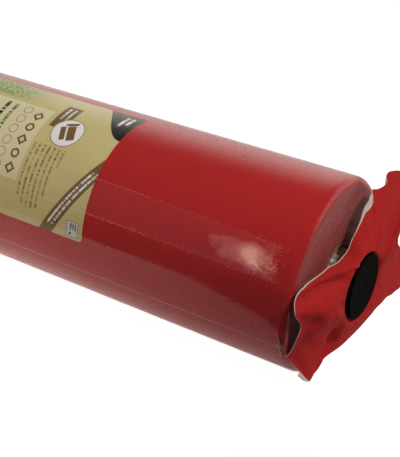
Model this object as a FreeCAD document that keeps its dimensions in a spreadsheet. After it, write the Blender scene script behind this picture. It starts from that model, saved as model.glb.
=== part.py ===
"""A shrink-wrapped roll of embossed tissue table covering, with a touch sample plugged into its core.

The roll's axis is X, with the sample at the +X end and the origin at the middle of the axis.
+Z is up and -Y is the side that carries the printed label. Everything is in millimetres.
"""

import FreeCAD, Part
import math
import os
import re

import Sketcher
from FreeCAD import Placement, Rotation, Vector

X_AXIS = Vector(1, 0, 0)
Y_AXIS = Vector(0, 1, 0)
Z_AXIS = Vector(0, 0, 1)

# The sizes that drive the object. Angles are in degrees about the roll's axis, measured from +Y
# towards +Z, so 90 is the top of the roll and 180 is the side that faces -Y.
SIZES = {
    "web_width": 1180,
    "film_radius": 63.5,
    "film_thickness": 0.3,
    "film_opening": 24,
    "rim_round": 6,
    "air": 0.05,
    "turn_thickness": 0.5,
    "tail_angle": 193.7,
    "tape_thickness": 0.1,
    "tape_length": 200,
    "tape_width_angle": 60,
    "core_bore": 20,
    "inner_ply": 0.8,
    "body_plies": 1.7,
    "outer_ply": 0.5,
    "mouth_press": 0.4,
    "mouth_depth": 24,
    "label_thickness": 0.15,
    "label_arc": 105,
    "label_length": 210,
    "label_inset": 147,
    "label_low_angle": 173.2,
    "seam_width": 6,
    "seam_angle": 335,
    "glue_width": 2.5,
    "glue_arc": 22,
    "plug_proud": 19.1,
    "head_radius": 20.8,
    "head_thickness": 2.5,
    "head_round": 0.7,
    "shank_radius": 16.5,
    "shank_wall": 2,
    "shank_length": 35.5,
    "shank_chamfer": 1,
    "hub_radius": 3,
    "rib_thickness": 1.6,
    "rib_count": 4,
    "rib_setback": 3,
    "sample_clearance": 0.3,
    "pleat_bulk": 1.1,
    "ply_thickness": 0.2,
    "head_clearance": 1,
    "sample_slope": 0.155,
    "sample_trim": 90,
    "near_upper_reach": 61,
    "near_upper_angle": 161,
    "near_lower_reach": 64,
    "near_lower_angle": 225,
    "far_lower_reach": 76,
    "far_lower_angle": 332,
    "far_upper_reach": 74,
    "far_upper_angle": 55,
    "far_notch_reach": 46,
    "far_notch_angle": 15,
    "upper_waist_reach": 28,
    "upper_waist_angle": 112,
    "lower_waist_reach": 34,
    "lower_waist_angle": 268,
}

# The sizes that follow from those, as expressions over the sheet.
DERIVED = {
    "half_width": "web_width / 2",
    "film_inside": "film_radius - film_thickness",
    "label_inside": "film_inside - air - label_thickness",
    "web_radius": "label_inside - air",
    "core_radius": "core_bore + inner_ply + body_plies + outer_ply",
    "web_bore": "core_radius + tape_thickness + air",
    "spiral_shift": "turn_thickness / 4",
    "start_half_radius": "web_radius - 3 * spiral_shift",
    "tail_half_radius": "web_radius - spiral_shift",
    "label_angle": "label_arc / film_radius * 180 / pi",
    "label_start": "label_low_angle - label_angle",
    "seam_span": "seam_width / film_radius * 180 / pi",
    "glue_span": "glue_arc / film_radius * 180 / pi",
    "glue_start": "tail_angle - glue_span / 2",
    "head_back": "half_width + plug_proud - head_thickness",
    "sample_mouth": "head_back - head_clearance",
    "pocket_floor": "head_back - shank_length - sample_clearance",
    "pocket_radius": "shank_radius + sample_clearance",
    "sample_edge": "sample_mouth - sample_slope * (sample_trim - pocket_radius)",
}

doc = FreeCAD.newDocument("table_cover_roll")
sheet = doc.addObject("Spreadsheet::Sheet", "Sizes")
parts = []


def fill_sheet():
    """Write the driving sizes as text numbers, then the derived ones as formulas."""
    rows = list(SIZES.items())
    for row, (alias, value) in enumerate(rows, start=1):
        sheet.set(f"A{row}", alias)
        sheet.set(f"B{row}", str(value))
        sheet.setAlias(f"B{row}", alias)
    for row, (alias, formula) in enumerate(DERIVED.items(), start=len(rows) + 1):
        sheet.set(f"A{row}", alias)
        sheet.set(f"B{row}", f"={formula}")
        sheet.setAlias(f"B{row}", alias)
    doc.recompute()


def size(alias):
    """The value of one cell of the sheet."""
    return float(getattr(sheet, alias))


def cell(formula):
    """A formula over the sheet's aliases, as an expression that an object's property can hold."""
    def in_sheet(word):
        return f"Sizes.{word[0]}" if word[0] in SIZES or word[0] in DERIVED else word[0]

    return re.sub("[a-z_]+", in_sheet, formula)


def number(formula):
    """What a formula over the sheet's aliases comes to."""
    return float(sheet.evalExpression(cell(formula)))


def bind(item, **properties):
    """Tie properties of a document object to formulas over the sheet."""
    for name, formula in properties.items():
        item.setExpression(name, cell(formula))


def keep(item, label):
    """Name a finished sub-part, which is then written to its own file."""
    item.Label = label
    parts.append(item)
    return item


def origin_item(body, role):
    """One of a body's own origin planes or axes."""
    return next(f for f in body.Origin.OriginFeatures if f.Role == role)


def new_sketch(body, name, role="YZ_Plane", offset=None):
    """A sketch on one of the body's origin planes, lifted along its normal by a formula."""
    sketch = body.newObject("Sketcher::SketchObject", name)
    sketch.AttachmentSupport = (origin_item(body, role), [""])
    sketch.MapMode = "FlatFace"
    if offset:
        sketch.setExpression("AttachmentOffset.Base.z", cell(offset))
    return sketch


def add_dimension(sketch, name, formula, kind, *geometry):
    """A named dimension of the sketch, which follows a formula."""
    sketch.addConstraint(Sketcher.Constraint(kind, *geometry, number(formula)))
    sketch.renameConstraint(sketch.ConstraintCount - 1, name)
    sketch.setExpression(f"Constraints.{name}", cell(formula))


def add_circle(sketch, name, radius):
    """A circle about the roll's axis, of a radius given by a formula."""
    ring = sketch.addGeometry(Part.Circle(Vector(0, 0, 0), Z_AXIS, number(radius)), False)
    sketch.addConstraint(Sketcher.Constraint("Coincident", ring, 3, -1, 1))
    add_dimension(sketch, name, radius, "Radius", ring)


def add_outline(sketch, corners):
    """A closed outline of straight lines through corners, each given by two formulas."""
    places = [Vector(number(across), number(up), 0) for across, up in corners]
    lines = []
    for start, end in zip(places, places[1:] + places[:1]):
        lines.append(sketch.addGeometry(Part.LineSegment(start, end), False))
    for this, following in zip(lines, lines[1:] + lines[:1]):
        sketch.addConstraint(Sketcher.Constraint("Coincident", this, 2, following, 1))
    for line, corner in zip(lines, corners):
        for kind, formula in zip(("DistanceX", "DistanceY"), corner):
            add_dimension(sketch, f"{kind}{line}", formula, kind, -1, 1, line, 1)


def pad(body, sketch, length, midplane=False, backwards=False):
    """Pad a sketch of the body by a formula's length."""
    feature = body.newObject("PartDesign::Pad", f"{sketch.Name}_pad")
    feature.Profile = sketch
    feature.Midplane = midplane
    feature.Reversed = backwards
    bind(feature, Length=length)
    sketch.Visibility = False
    return feature


def new_body(name):
    return doc.addObject("PartDesign::Body", name)


def tube(name, inner, outer, length):
    """A body that is a plain tube about the axis, centred on the origin."""
    body = new_body(name)
    section = new_sketch(body, f"{name}_section")
    add_circle(section, "inner", inner)
    add_circle(section, "outer", outer)
    pad(body, section, length, midplane=True)
    return body


def drum(name, radius, length, rounding):
    """A body that is a solid drum about the axis with both rims rounded."""
    body = new_body(name)
    section = new_sketch(body, f"{name}_section")
    add_circle(section, "outer", radius)
    solid = pad(body, section, length, midplane=True)
    doc.recompute()
    rims = [f"Edge{i}" for i, e in enumerate(solid.Shape.Edges, start=1) if len(e.Vertexes) == 1]
    fillet = body.newObject("PartDesign::Fillet", f"{name}_rims")
    fillet.Base = (solid, rims)
    bind(fillet, Radius=rounding)
    return body


def boolean(kind, name, base, tool):
    """A Part boolean of two objects, such as Cut or Common."""
    result = doc.addObject(f"Part::{kind}", name)
    result.Base = base
    result.Tool = tool
    return result


def along_x(item, start, angle):
    """Turn a Part primitive's own Z axis onto the roll's X axis, at a start and an angle."""
    turn = Rotation(X_AXIS, size(angle)).multiply(Rotation(Y_AXIS, Z_AXIS, X_AXIS, "ZXY"))
    item.Placement = Placement(Vector(0, 0, 0), turn)
    item.setExpression("Placement.Base.x", cell(start))


def curved_strip(label, inner, outer, start, length, angle, span):
    """A strip on a cylinder: its radii, its start and length along X, and its first angle and span."""
    shapes = []
    for part, radius, turn in (("outer", outer, span), ("inner", inner, "360")):
        piece = doc.addObject("Part::Cylinder", f"{label}_{part}")
        bind(piece, Radius=radius, Height=length, Angle=turn)
        along_x(piece, start, angle)
        shapes.append(piece)
    strip = doc.addObject("Part::Cut", label)
    strip.Base, strip.Tool = shapes
    return keep(strip, label)


def core():
    """The paperboard tube: a liner ply, the middle plies and an outer ply."""
    liner = tube("core_inner_ply", "core_bore", "core_bore + inner_ply", "web_width")
    doc.recompute()
    whole = liner.Shape.Volume
    # the plug and the cloth round it have pressed the liner's mouth wider
    mouth = new_sketch(liner, "mouth", offset="half_width")
    add_circle(mouth, "mouth", "core_bore + mouth_press")
    press = liner.newObject("PartDesign::Pocket", "mouth_pocket")
    press.Profile = mouth
    bind(press, Length="mouth_depth")
    doc.recompute()
    if liner.Shape.Volume >= whole:
        raise RuntimeError("the core's mouth wasn't cut")
    keep(liner, "core_inner_ply")
    middle = "core_bore + inner_ply"
    keep(tube("core_body_ply", middle, f"{middle} + body_plies", "web_width"), "core_body_ply")
    keep(tube("core_outer_ply", f"{middle} + body_plies", "core_radius", "web_width"), "core_outer_ply")


def spiral_section(sketch):
    """The outline of the wound web, which grows by a turn's thickness on its way round to the tail.

    It is two half circles whose centres lie half a thickness apart, so that they meet smoothly
    opposite the tail, and a straight step at the tail.
    """
    shift = number("spiral_shift")
    start_radius = number("start_half_radius")
    tail_radius = number("tail_half_radius")
    start_circle = Part.Circle(Vector(-shift, 0, 0), Z_AXIS, start_radius)
    tail_circle = Part.Circle(Vector(shift, 0, 0), Z_AXIS, tail_radius)
    tail_top = Vector(tail_radius + shift, 0, 0)
    tail_foot = Vector(start_radius - shift, 0, 0)
    start_half = sketch.addGeometry(Part.ArcOfCircle(start_circle, 0, math.pi), False)
    tail_half = sketch.addGeometry(Part.ArcOfCircle(tail_circle, math.pi, 2 * math.pi), False)
    step = sketch.addGeometry(Part.LineSegment(tail_top, tail_foot), False)
    for this, following in ((start_half, tail_half), (tail_half, step), (step, start_half)):
        sketch.addConstraint(Sketcher.Constraint("Coincident", this, 2, following, 1))
    for point, geometry in ((3, start_half), (3, tail_half), (1, start_half), (2, start_half)):
        sketch.addConstraint(Sketcher.Constraint("PointOnObject", geometry, point, -1))
    add_dimension(sketch, "start_radius", "start_half_radius", "Radius", start_half)
    add_dimension(sketch, "tail_radius", "tail_half_radius", "Radius", tail_half)
    add_dimension(sketch, "shift", "0 - spiral_shift", "DistanceX", -1, 1, start_half, 3)


def web():
    """The wound tissue, one long web, whose last turn ends in a free tail."""
    turns = new_body("web_turns")
    section = new_sketch(turns, "web_section")
    section.AttachmentOffset = Placement(Vector(0, 0, 0), Rotation(Z_AXIS, size("tail_angle")))
    spiral_section(section)
    pad(turns, section, "web_width", midplane=True)
    ends = drum("web_ends_form", "film_inside - air", "web_width", "rim_round")
    bore = doc.addObject("Part::Cylinder", "web_bore_form")
    bind(bore, Radius="web_bore", Height="web_width * 2")
    along_x(bore, "0 - web_width", "tail_angle")
    keep(boolean("Cut", "wound_web", boolean("Common", "rounded_turns", turns, ends), bore), "wound_web")


def film():
    """The shrink film: one sleeve whose ends are drawn in over the rims to a central opening."""
    outside = drum("film_outside", "film_radius", "web_width + 2 * film_thickness", "rim_round")
    hollow = drum("film_hollow", "film_inside", "web_width", "rim_round - film_thickness")
    opening = doc.addObject("Part::Cylinder", "film_opening_form")
    bind(opening, Radius="film_opening", Height="web_width * 2")
    along_x(opening, "0 - web_width", "tail_angle")
    skin = boolean("Cut", "film_skin", outside, hollow)
    keep(boolean("Cut", "film_with_openings", skin, opening), "film_sleeve")


def strips():
    """The thin strips that lie along the roll: tape, glue, label and the film's own lap seal."""
    curved_strip(
        "start_tape", "core_radius", "core_radius + tape_thickness",
        "0 - tape_length / 2", "tape_length", "tail_angle", "tape_width_angle",
    )
    curved_strip(
        "tail_glue_bead", "web_radius", "film_inside - air",
        "half_width - rim_round - glue_width", "glue_width", "glue_start", "glue_span",
    )
    curved_strip(
        "paper_label", "label_inside", "label_inside + label_thickness",
        "half_width - label_inset - label_length", "label_length", "label_start", "label_angle",
    )
    curved_strip(
        "film_seam", "film_radius", "film_radius + film_thickness",
        "rim_round - half_width", "web_width - 2 * rim_round", "seam_angle", "seam_span",
    )


def best_edge(feature, rank):
    """The name of the edge of a feature that ranks highest."""
    edges = feature.Shape.Edges
    return f"Edge{max(range(len(edges)), key=lambda place: rank(edges[place])) + 1}"


def plug():
    """The black moulded plug: a flat head on a hollow shank with a hub and ribs inside."""
    body = new_body("core_plug")
    face = new_sketch(body, "head_face", offset="head_back")
    add_circle(face, "head", "head_radius")
    head = pad(body, face, "head_thickness")
    doc.recompute()
    softened = body.newObject("PartDesign::Fillet", "head_rim")
    softened.Base = (head, [best_edge(head, lambda edge: edge.BoundBox.XMin)])
    bind(softened, Radius="head_round")
    wall = new_sketch(body, "shank_section", offset="head_back")
    add_circle(wall, "outer", "shank_radius")
    add_circle(wall, "inner", "shank_radius - shank_wall")
    shank = pad(body, wall, "shank_length", backwards=True)
    doc.recompute()
    lead_in = body.newObject("PartDesign::Chamfer", "shank_lead_in")
    lip = best_edge(shank, lambda edge: (-round(edge.BoundBox.XMax), edge.BoundBox.YMax))
    lead_in.Base = (shank, [lip])
    bind(lead_in, Size="shank_chamfer")
    centre = new_sketch(body, "hub_section", offset="head_back")
    add_circle(centre, "hub", "hub_radius")
    pad(body, centre, "shank_length - rib_setback", backwards=True)
    section = new_sketch(body, "rib_section", offset="head_back")
    side = "rib_thickness / 2"
    reach = "shank_radius - shank_wall / 2"
    add_outline(section, [("0", f"0 - {side}"), (reach, f"0 - {side}"), (reach, side), ("0", side)])
    rib = pad(body, section, "shank_length - rib_setback", backwards=True)
    ribs = body.newObject("PartDesign::PolarPattern", "ribs")
    ribs.Originals = [rib]
    ribs.Axis = (origin_item(body, "X_Axis"), [""])
    ribs.Angle = 360
    bind(ribs, Occurrences="rib_count")
    body.Tip = ribs
    keep(body, "core_plug")


def sample_outline():
    """The corners of the gathered cloth strip as it spreads round the plug, seen along the axis."""
    corners = (
        "near_upper", "near_lower", "lower_waist", "far_lower", "far_notch", "far_upper", "upper_waist",
    )
    return [tuple(f"{c}_reach * {turn}({c}_angle * 1 deg)" for turn in ("cos", "sin")) for c in corners]


def sample_ply(label, place):
    """One layer of the cloth sample: a pocket round the plug's shank, then a shallow flared skirt.

    Place 0 is against the plug. Pleats make each layer bulky in the pocket and thin in the skirt.
    """
    body = new_body(label)
    section = new_sketch(body, f"{label}_section", role="XZ_Plane")
    surfaces = []
    for layer in (place, place + 1):
        behind = f"{layer} * ply_thickness"
        neck = f"pocket_radius + {layer} * pleat_bulk"
        slope = f"sample_mouth - {behind} - sample_slope * {layer} * pleat_bulk"
        surfaces.append(
            [
                (f"pocket_floor - {behind}", "0"),
                (f"pocket_floor - {behind}", neck),
                (slope, neck),
                (f"sample_edge - {behind}", "sample_trim"),
            ]
        )
    add_outline(section, surfaces[0] + surfaces[1][::-1])
    turned = body.newObject("PartDesign::Revolution", f"{label}_turned")
    turned.Profile = section
    turned.ReferenceAxis = (section, ["H_Axis"])
    turned.Angle = 360
    doc.recompute()
    whole = body.Shape.Volume
    trim = new_sketch(body, f"{label}_trim", offset="half_width + plug_proud")
    add_circle(trim, "beyond", "sample_trim + rim_round")
    add_outline(trim, sample_outline())
    cut = body.newObject("PartDesign::Pocket", f"{label}_cut")
    cut.Profile = trim
    bind(cut, Length="plug_proud + head_thickness")
    doc.recompute()
    if body.Shape.Volume >= whole:
        raise RuntimeError(f"{label} wasn't trimmed to its outline")
    keep(body, label)


def write_parts():
    """Check every object and sub-part, then write one file for each sub-part."""
    doc.recompute()
    for item in doc.Objects:
        if {"Invalid", "Error"} & set(item.State):
            raise RuntimeError(f"{item.Label} failed: {item.State}")
    os.makedirs("parts", exist_ok=True)
    for item in parts:
        if item.Shape.isNull() or not item.Shape.isValid() or not item.Shape.Solids:
            raise RuntimeError(f"{item.Label} has no valid solid")
        item.Shape.exportStep(f"parts/{item.Label}.step")
        print(f"{item.Label}: {item.Shape.Volume / 1000:.2f} cm3, {len(item.Shape.Solids)} solid(s)")


fill_sheet()
core()
web()
film()
strips()
plug()
for ply_place, ply_label in enumerate(("sample_face_ply", "sample_inner_plies", "sample_back_ply")):
    sample_ply(ply_label, ply_place)
write_parts()
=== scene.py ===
"""The looks of a shrink-wrapped roll of embossed tissue table covering, with a cloth sample in its core.

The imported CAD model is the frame, and gives the places and sizes. Lengths are in metres, and MM turns
millimetres into them. The roll's axis is X, +Z is up and the label faces -Y. Angles about the axis run
from +Y towards +Z, so 90 degrees is the top of the roll.
"""

import math

import bmesh
import bpy
import numpy as np
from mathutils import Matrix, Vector


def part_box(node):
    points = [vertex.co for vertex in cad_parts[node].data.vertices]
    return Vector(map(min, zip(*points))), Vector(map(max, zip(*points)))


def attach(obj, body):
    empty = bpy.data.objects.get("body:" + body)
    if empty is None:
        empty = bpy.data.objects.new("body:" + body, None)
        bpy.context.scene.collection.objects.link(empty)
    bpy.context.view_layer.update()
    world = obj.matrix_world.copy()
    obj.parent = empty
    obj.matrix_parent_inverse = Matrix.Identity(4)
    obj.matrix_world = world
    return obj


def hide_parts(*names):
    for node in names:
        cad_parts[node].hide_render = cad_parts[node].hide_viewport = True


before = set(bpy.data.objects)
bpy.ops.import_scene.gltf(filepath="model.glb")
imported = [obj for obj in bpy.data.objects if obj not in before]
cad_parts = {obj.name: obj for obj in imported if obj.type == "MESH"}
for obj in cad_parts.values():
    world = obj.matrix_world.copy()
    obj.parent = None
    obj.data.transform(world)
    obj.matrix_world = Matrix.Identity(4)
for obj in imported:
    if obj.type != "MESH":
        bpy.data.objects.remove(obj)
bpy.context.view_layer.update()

MM = 0.001
FULL_TURN = 2 * math.pi
SMOOTH_ANGLE = math.radians(40)
WELD = 1e-6

film_low, film_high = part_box("film_sleeve")
label_low, label_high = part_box("paper_label")
plug_low, plug_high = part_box("core_plug")
seam_low, seam_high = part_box("film_seam")

FILM_RADIUS = film_high.z
FLOOR_LEVEL = film_low.z
ROLL_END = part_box("wound_web")[1].x
GLUE_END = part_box("tail_glue_bead")[1].x
CORE_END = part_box("core_inner_ply")[1].x
CORE_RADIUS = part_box("core_outer_ply")[1].z
CORE_BORE = 20 * MM
RIM_ROUND = 6 * MM
TURN = 0.5 * MM
TAIL_ANGLE = math.radians(193.7)
WEB_RADIUS = FILM_RADIUS - 0.55 * MM
FILM_OVER_WEB = 0.5 * MM
FILM_OPENING = 24 * MM
LABEL_LOW_ANGLE = math.radians(173.2)
LABEL_WIDTH = 105 * MM
LABEL_LENGTH = label_high.x - label_low.x
HEAD_THICKNESS = 2.5 * MM
TWILL_PITCH = 1.78 * MM
BODY_LEAN, SAMPLE_LEAN = 43, 30


# ---------------- shapes


def blend_in(value, start, end):
    """0 before start, 1 after end, and a smooth step between them."""
    share = np.clip((value - start) / (end - start), 0, 1)
    return share * share * (3 - 2 * share)


def ripples(around, along, turns, lengths, count, seed):
    """A smooth random field about 1 high, which closes on itself around the axis.

    turns is the range of waves in one turn, and lengths the range of wave lengths along.
    """
    chance = np.random.default_rng(seed)
    total = 0
    for _ in range(count):
        waves = chance.integers(*turns, endpoint=True)
        lean = chance.choice((-1, 1)) / chance.uniform(*lengths)
        total = total + np.sin(waves * around + FULL_TURN * (lean * along + chance.random()))
    return total / math.sqrt(count / 2)


def quads(index):
    """The quads between the neighbours of a grid of vertex numbers."""
    corners = (index[:-1, :-1], index[:-1, 1:], index[1:, 1:], index[1:, :-1])
    return np.stack(corners, axis=-1).reshape(-1, 4)


def numbered(points):
    """The vertex numbers of a grid of points."""
    return np.arange(points.shape[0] * points.shape[1]).reshape(points.shape[:2])


def pairs(first, second):
    """A grid of two coordinates, each of which is given as a row, a column or a whole grid."""
    return np.stack(np.broadcast_arrays(first, second), axis=-1)


def distances(points):
    """How far along its line each point is, for one line of points or for each column of a grid."""
    steps = np.linalg.norm(np.diff(points, axis=0), axis=-1)
    return np.concatenate([np.zeros_like(steps[:1]), np.cumsum(steps, axis=0)])


def cubic(t, low, low_slope, high, high_slope):
    """The point at a share t of a smooth curve between two points, from its slopes there."""
    return (
        (2 * t**3 - 3 * t**2 + 1) * low
        + (t**3 - 2 * t**2 + t) * low_slope
        + (3 * t**2 - 2 * t**3) * high
        + (t**3 - t**2) * high_slope
    )


def normals(points):
    """The unit normals of a grid of points, by the right-hand rule over its rows and columns."""
    across = np.gradient(points, axis=1)
    across[:, 0] = across[:, -1] = (points[:, 1] - points[:, 0] + points[:, -1] - points[:, -2]) / 2
    normal = np.cross(np.gradient(points, axis=0), across)
    length = np.linalg.norm(normal, axis=-1, keepdims=True)
    return normal / np.maximum(length, 1e-12)


def on_axis(x, radius, angle):
    """Points at a place along the axis, a distance from it and an angle about it."""
    x, radius, angle = np.broadcast_arrays(x, radius, angle)
    return np.stack([x, radius * np.cos(angle), radius * np.sin(angle)], axis=-1)


def placed(name, data):
    """A new object in the scene, from its mesh, lamp or camera data."""
    piece = bpy.data.objects.new(name, data)
    bpy.context.scene.collection.objects.link(piece)
    return piece


def build(name, points, faces, places, material):
    """A mesh object, with a UV map that holds each point's place on its material, in metres."""
    mesh = bpy.data.meshes.new(name)
    mesh.from_pydata(points.reshape(-1, 3).tolist(), [], np.concatenate(faces).tolist())
    layer = mesh.uv_layers.new(name="place")
    corners = np.empty(len(mesh.loops), dtype=int)
    mesh.loops.foreach_get("vertex_index", corners)
    layer.data.foreach_set("uv", places.reshape(-1, 2)[corners].astype(np.float32).ravel())
    work = bmesh.new()
    work.from_mesh(mesh)
    bmesh.ops.remove_doubles(work, verts=work.verts, dist=WELD)
    bmesh.ops.recalc_face_normals(work, faces=work.faces)
    work.to_mesh(mesh)
    work.free()
    mesh.shade_smooth()
    mesh.set_sharp_from_angle(angle=SMOOTH_ANGLE)
    mesh.materials.append(material)
    return placed(name, mesh)


def settle(piece, slot, body, node):
    """Attach a piece to the body it moves with, and hide the node of the CAD model that it replaces. Its
    slot, what it is made of, is not used.
    """
    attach(piece, body)
    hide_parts(node)


def slab(name, front, back, places, material, wrapped=False, centred=False):
    """A closed thin solid between two grids of points.

    wrapped says that its last column is its first, and centred that its first row is one point.
    """
    index = numbered(front)
    rims = [index[-1]]
    if not centred:
        rims.append(index[0])
    if not wrapped:
        rims += [index[:, 0], index[:, -1]]
    faces = [quads(index), quads(index + index.size)]
    faces += [quads(np.stack([rim, rim + index.size])) for rim in rims]
    return build(name, np.stack([front, back]), faces, np.stack([places, places]), material)


def turned(name, profile, columns, material, warp=None):
    """A solid turned about the axis from a closed profile of (x, radius), whose surface warp may move."""
    profile = np.array(profile)
    angle = np.linspace(0, FULL_TURN, columns + 1)[None, :]
    x, radius = profile[:, :1], profile[:, 1:]
    places = pairs(distances(profile)[:, None], angle * radius.max())
    if warp:
        x, radius = warp(x, radius, angle)
    points = on_axis(x, radius, angle)
    return build(name, points, [quads(numbered(points))], places, material)


def arc(centre, radius, start, end, count):
    """Points of a profile along an arc, with angles in degrees from +x towards +radius."""
    turn = np.radians(np.linspace(start, end, count))
    return np.stack([centre[0] + radius * np.cos(turn), centre[1] + radius * np.sin(turn)], axis=1)


def spline(knots, counts):
    """Points along smooth curves through rows of knots, with a number of points for each span."""
    spans = np.linalg.norm(np.diff(knots, axis=0), axis=-1, keepdims=True).mean(axis=1, keepdims=True)
    spans = np.sqrt(np.maximum(spans, WELD))
    chords = np.diff(knots, axis=0) / spans
    inner = (chords[:-1] * spans[1:] + chords[1:] * spans[:-1]) / (spans[1:] + spans[:-1])
    slopes = np.concatenate([chords[:1], inner, chords[-1:]])
    rows = [knots[:1]]
    for place, (count, span) in enumerate(zip(counts, spans)):
        t = np.linspace(0, 1, count + 1)[1:, None, None]
        after = place + 1
        rows.append(cubic(t, knots[place], slopes[place] * span, knots[after], slopes[after] * span))
    return np.concatenate(rows)


# ---------------- materials


def math_method(operation):
    """A method that puts a number, and any others that it is given, through a math node."""
    return lambda number, *others: number.surface.math(operation, number, *others)


class Number:
    """A number that varies over a surface: a node's output, which Python's operators work on."""

    __add__ = math_method("ADD")
    __sub__ = math_method("SUBTRACT")
    __mul__ = math_method("MULTIPLY")
    __abs__ = math_method("ABSOLUTE")
    power = math_method("POWER")
    sine = math_method("SINE")
    fraction = math_method("FRACT")
    smaller = math_method("MINIMUM")
    larger = math_method("MAXIMUM")

    def __init__(self, surface, socket):
        self.surface = surface
        self.socket = socket

    def __rsub__(self, other):
        return self.surface.math("SUBTRACT", other, self)

    def __neg__(self):
        return self * -1

    def step(self, start, end):
        """0 before start, 1 after end, and a smooth step between them."""
        inputs = {"Value": self, "From Min": start, "From Max": end}
        node = self.surface.node("MapRange", inputs, interpolation_type="SMOOTHSTEP")
        return Number(self.surface, node.outputs[0])

    def between(self, low, high, soft):
        """1 between two limits and 0 outside them, with a smooth step that reaches soft to each side."""
        return self.step(low - soft, low + soft) * (1 - self.step(high - soft, high + soft))


class Surface:
    """A material or a world being made, with short names for the nodes that it uses."""

    def __init__(self, name, owners=bpy.data.materials):
        self.owner = owners.new(name)
        self.owner.use_nodes = True
        self.tree = self.owner.node_tree
        self.tree.nodes.clear()

    def node(self, kind, inputs=(), **settings):
        """A node with its settings, and with its inputs fed by name or by number."""
        node = self.tree.nodes.new(f"ShaderNode{kind}")
        for name, value in settings.items():
            setattr(node, name, value)
        for name, value in dict(inputs).items():
            self.feed(node.inputs[name], value)
        return node

    def feed(self, socket, value):
        """Set a socket to a plain number or a colour, or link it to a number or another socket."""
        if isinstance(value, Number):
            value = value.socket
        if isinstance(value, bpy.types.NodeSocket):
            self.tree.links.new(value, socket)
        else:
            socket.default_value = (*value, 1.0) if isinstance(value, tuple) else value

    def math(self, operation, *values):
        return Number(self, self.node("Math", enumerate(values), operation=operation).outputs[0])

    def parts(self, vector):
        """The x, y and z of a vector."""
        return [Number(self, output) for output in self.node("SeparateXYZ", {0: vector}).outputs]

    def place(self):
        """The two numbers of the UV map: a point's place on the material, in metres."""
        return self.parts(self.node("UVMap", uv_map="place").outputs[0])[:2]

    def point(self):
        """A point's place in the object, in metres."""
        return self.node("TexCoord").outputs["Object"]

    def ray(self, kind):
        """1 for the rays of a kind, and 0 for all others."""
        return Number(self, self.node("LightPath").outputs[f"Is {kind} Ray"])

    def noise(self, place, scale, detail=3.0, roughness=0.55):
        """Soft noise between 0 and 1, at a vector or at two numbers. scale is in waves a unit."""
        if isinstance(place, tuple):
            place = self.node("CombineXYZ", enumerate(place)).outputs[0]
        inputs = {"Vector": place, "Scale": scale, "Detail": detail, "Roughness": roughness}
        return Number(self, self.node("TexNoise", inputs).outputs[0])

    def mix(self, share, first, second):
        """A colour between two, by a share."""
        return self.node("Mix", {"Factor": share, 6: first, 7: second}, data_type="RGBA").outputs[2]

    def bump(self, height, distance, **normal):
        """A normal from a height of 0 to 1 that stands for a distance in metres, over any other Normal."""
        return self.node("Bump", {"Height": height, "Distance": distance, **normal}).outputs[0]

    def shader(self, kind="BsdfPrincipled", **inputs):
        """A shader, with _ for each space in the names of its inputs."""
        return self.node(kind, {name.replace("_", " "): value for name, value in inputs.items()}).outputs[0]

    def blend(self, share, first, second):
        """A shader between two, by a share."""
        return self.node("MixShader", enumerate((share, first, second))).outputs[0]

    def finish(self, shader, output="OutputMaterial"):
        self.node(output, {"Surface": shader})
        return self.owner

    def coat(self, colour, pattern, rough, normal, **gloss):
        """Finish with a plain coat. rough is how rough it is where a pattern is 0 and where it is 1."""
        roughness = pattern * (rough[1] - rough[0]) + rough[0]
        return self.finish(self.shader(Base_Color=colour, Roughness=roughness, Normal=normal, **gloss))


def ink(red, green, blue):
    """A linear colour from the usual 0 to 255 steps."""
    shares = (step / 255 for step in (red, green, blue))
    return tuple(s / 12.92 if s <= 0.04045 else ((s + 0.055) / 1.055) ** 2.4 for s in shares)


def twill_phases(u, v, lean):
    """A point's place across and down the emboss, as angles. lean is the way it repeats, in degrees."""
    turns = FULL_TURN / TWILL_PITCH
    return u * (math.cos(math.radians(lean)) * turns), v * (math.sin(math.radians(lean)) * turns)


def twill(surface, u, v, lean):
    """The height of the emboss, from 0 to 1: diagonal ridges, broken into grains by fainter ones."""
    wander = surface.noise((u, v), 120.0, detail=2.0) * 2.0
    across, down = twill_phases(u, v, lean)
    return (across + down + wander).sine() * 0.36 + (across - down - wander).sine() * 0.14 + 0.5


def dimples(u, v):
    """The lattice of soft dents that the emboss gives the film over it, from 0 to 1."""
    across, down = twill_phases(u, v, BODY_LEAN)
    return (((across + down).sine() + (across - down).sine()) * 0.25 + 0.5).power(2.5)


def loose_fibres(surface, u, v, scale=2400.0):
    """The fine noise of a tissue's fibres, from 0 to 1."""
    return surface.noise((u, v), scale, detail=4.0, roughness=0.7)


def tissue(surface, colour, fibres, normal, gloss, sheen):
    """A tissue's finished material: matt, and unevenly so with its fibres."""
    rough = (0.85, 0.95)
    return surface.coat(colour, fibres, rough, normal, Specular_IOR_Level=gloss, Sheen_Weight=sheen)


def red_tissue():
    """The sample's red ply. The grooves are darker, and loose fibres make the face uneven."""
    surface = Surface("sample_red")
    u, v = surface.place()
    ridge = twill(surface, u, v, SAMPLE_LEAN)
    fibres = loose_fibres(surface, u, v)
    patches = surface.noise(surface.point(), 22.0, detail=2.0)
    depth = ridge * 0.65 + fibres * 0.2 + patches * 0.15
    colour = surface.mix(depth, (0.34, 0.015, 0.015), (0.51, 0.027, 0.026))
    normal = surface.bump(ridge * 0.8 + fibres * 0.2, 0.13 * MM)
    return tissue(surface, colour, fibres, normal, gloss=0.08, sheen=0.02)


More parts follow.
